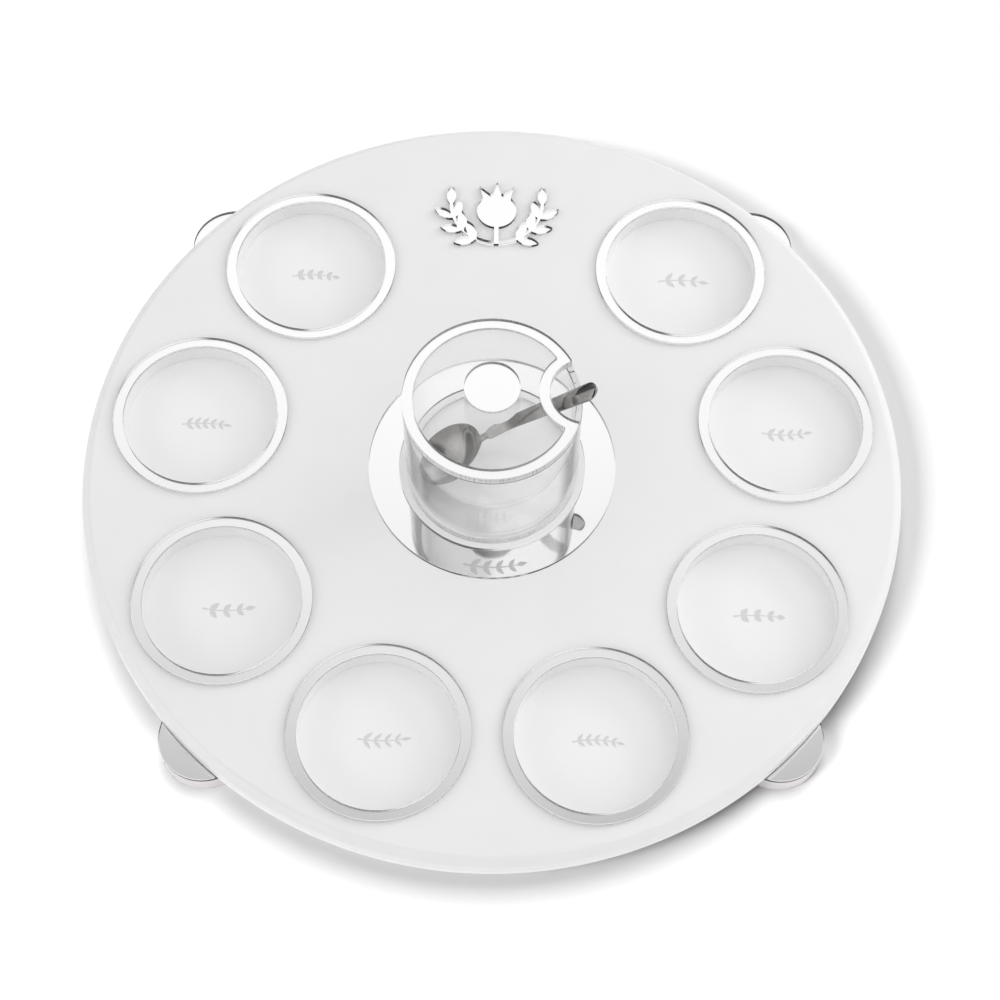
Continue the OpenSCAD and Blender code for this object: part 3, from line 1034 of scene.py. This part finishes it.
def make_spoon():
    """The spoon: at each place along it a closed loop runs across its top and back along its underside."""
    lean, turn, tip_along, tip_height = spoon_pose()
    nose = BOWL_NOSE * (1 - np.cos(np.linspace(0, math.pi / 2, NOSE_POINTS)))
    tail = BOWL_NOSE + (BOWL_L - BOWL_NOSE) * np.sin(np.linspace(0, TAIL_SWEEP, TAIL_POINTS))[1:]
    body = np.linspace(BOWL_L, HANDLE_STOP, BODY_POINTS)[:-1]
    end = HANDLE_STOP + END_L * np.sin(np.linspace(0, math.pi / 2, END_POINTS))
    x = np.concatenate([nose, tail, body, end])[:, None]
    across = -np.cos(np.linspace(0, math.pi, ACROSS_POINTS))[None]
    top, under = spoon_heights(x, across)
    y = spoon_half_width(x) * across
    loop_y = np.concatenate([y, y[:, -2:0:-1]], 1)
    loop_z = np.concatenate([top, under[:, -2:0:-1]], 1)
    loop_x = np.broadcast_to(x, loop_y.shape)
    along = tip_along + (loop_x * math.cos(lean) - loop_z * math.sin(lean)) * MM
    height = tip_height + (loop_x * math.sin(lean) + loop_z * math.cos(lean)) * MM
    side = loop_y * MM
    grid = np.stack([along * math.cos(turn) - side * math.sin(turn),
                     along * math.sin(turn) + side * math.cos(turn), height], -1)
    piece = make_piece("steel_honey_spoon", [(grid, False, True)])
    finish_piece(piece, "spoon", "stainless_steel", ["honey_spoon"], STEEL)


# The stage


def make_camera():
    """The photograph's camera: it looks down by so much, turned by its yaw and rolled about its axis."""
    down = math.radians(CAMERA_DOWN)
    yaw = math.radians(CAMERA_YAW)
    roll = math.radians(CAMERA_ROLL)
    ahead = np.array([math.cos(down) * math.sin(yaw), math.cos(down) * math.cos(yaw), -math.sin(down)])
    right = np.array([math.cos(yaw), -math.sin(yaw), 0])
    up = np.cross(right, ahead)
    rolled_right = math.cos(roll) * right + math.sin(roll) * up
    rolled_up = -math.sin(roll) * right + math.cos(roll) * up
    camera = bpy.data.objects.new("photo_camera", bpy.data.cameras.new("photo_camera"))
    camera.data.lens = CAMERA_LENS
    camera.data.sensor_width = SENSOR_W
    camera.data.clip_start = CAMERA_NEAR
    axes = np.eye(4)
    axes[:3, 0] = rolled_right
    axes[:3, 1] = rolled_up
    axes[:3, 2] = -ahead
    axes[:3, 3] = (*CAMERA_AT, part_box("well_sheet")[1].z + CAMERA_ABOVE)
    camera.matrix_world = Matrix(axes.tolist())
    bpy.context.scene.collection.objects.link(camera)
    bpy.context.scene.camera = camera


def make_world():
    """White to the camera. Mirrors and clear plastic see white walls, a ceiling that is light at the front
    and at the back and dark in between, and a dark screen over the left; steel also sees a dim horizon.
    Diffuse light is even."""
    world = bpy.data.worlds.new("studio")
    bpy.context.scene.world = world
    world.use_nodes = True
    tree = world.node_tree
    lit = tree.nodes["Background"]
    lit.inputs["Color"].default_value = (1, 1, 1, 1)
    direction = tree.nodes.new("ShaderNodeTexCoord").outputs["Generated"]
    parts = tree.nodes.new("ShaderNodeSeparateXYZ")
    tree.links.new(direction, parts.inputs[0])
    aside = maths(tree, "ABSOLUTE", maths(tree, "SUBTRACT", parts.outputs["X"], CEILING_MIDDLE), 0)
    backwards = maths(tree, "SUBTRACT", parts.outputs["Y"], maths(tree, "MULTIPLY", aside, CEILING_CURVE))
    fading = remap(tree, backwards, *CEILING_RUN, *CEILING_TONES)
    greyed = maths(tree, "MAXIMUM", fading, CEILING_DARKEST)
    behind_line = remap(tree, parts.outputs["Y"], *CEILING_LINE, 0, 1)
    ceiling = blend_values(tree, behind_line, CEILING_FRONT, greyed)
    overhead = blend_values(tree, remap(tree, parts.outputs["Z"], *CEILING_RISE, 0, 1), 1.0, ceiling)
    facing = tree.nodes.new("ShaderNodeVectorMath")
    facing.operation = "DOT_PRODUCT"
    tree.links.new(direction, facing.inputs[0])
    facing.inputs[1].default_value = SCREEN_WAY
    screened = remap(tree, facing.outputs["Value"], *SCREEN_EDGE, 0, SCREEN_DARK)
    covered = maths(tree, "MULTIPLY", screened, remap(tree, parts.outputs["Y"], *CEILING_LINE, 1, 0))
    screen = maths(tree, "SUBTRACT", 1, covered)
    horizon = remap(tree, parts.outputs["Z"], *HORIZON_RISE, HORIZON_DIM, 1.0)
    path = tree.nodes.new("ShaderNodeLightPath").outputs
    studio = maths(tree, "MULTIPLY", overhead, screen)
    steel_sees = maths(tree, "MULTIPLY", studio, horizon)
    mirrored = blend_values(tree, path["Is Glossy Ray"], WORLD_FILL, steel_sees)
    through = blend_values(tree, path["Is Transmission Ray"], mirrored, studio)
    shown = blend_values(tree, path["Is Camera Ray"], through, 1.0)
    tree.links.new(shown, lit.inputs["Strength"])


def make_floor():
    """A wide pale floor that keeps the plate's shadow and is white outside it under its own lamps."""
    ways = [(-1, -1), (1, -1), (1, 1), (-1, 1)]
    corners = [(x * FLOOR_HALF, y * FLOOR_HALF, -AIR_GAP) for x, y in ways]
    mesh = bpy.data.meshes.new("floor")
    mesh.from_pydata(corners, [], [(0, 1, 2, 3)])
    floor = bpy.data.objects.new("floor", mesh)
    bpy.context.scene.collection.objects.link(floor)
    material, _, shader, _ = start_material("pale_floor")
    shader.inputs["Base Color"].default_value = (FLOOR_TONE, FLOOR_TONE, FLOOR_TONE, 1)
    shader.inputs["Roughness"].default_value = 1
    shader.inputs["Specular IOR Level"].default_value = 0
    mesh.materials.append(material)
    floor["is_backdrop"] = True
    return floor


def make_lamp(name, at, size, watts, receivers):
    """A square soft lamp that looks at the plate, is not mirrored itself, and lights only its receivers."""
    light = bpy.data.lights.new(name, "AREA")
    light.size = size
    light.energy = watts
    lamp = bpy.data.objects.new(name, light)
    away = unit(np.asarray(at, float))
    side = unit(np.cross((0, 1, 0), away))
    axes = np.eye(4)
    axes[:3, 0] = side
    axes[:3, 1] = np.cross(away, side)
    axes[:3, 2] = away
    axes[:3, 3] = at
    lamp.matrix_world = Matrix(axes.tolist())
    lamp.visible_glossy = False
    lamp.visible_transmission = False
    lamp.visible_camera = False
    bpy.context.scene.collection.objects.link(lamp)
    lamp.light_linking.receiver_collection = receivers


def make_lights(floor):
    """For the plate a wide ceiling lamp, two soft key lamps from the right, and low ones from the left and
    the front; for the floor a lamp from the left and one from the back, whose shadows meet at the front
    right."""
    plate_only = bpy.data.collections.new("plate_pieces")
    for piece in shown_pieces():
        plate_only.objects.link(piece)
    floor_only = bpy.data.collections.new("floor_alone")
    floor_only.objects.link(floor)
    for lamp in PLATE_LAMPS:
        make_lamp(*lamp, plate_only)
    for lamp in FLOOR_LAMPS:
        make_lamp(*lamp, floor_only)


make_camera()
make_plate()
make_well_sheet()
make_sprigs()
make_ornament()
make_cup()
make_spoon()
make_world()
make_lights(make_floor())
bpy.context.scene.view_settings.view_transform = "Standard"
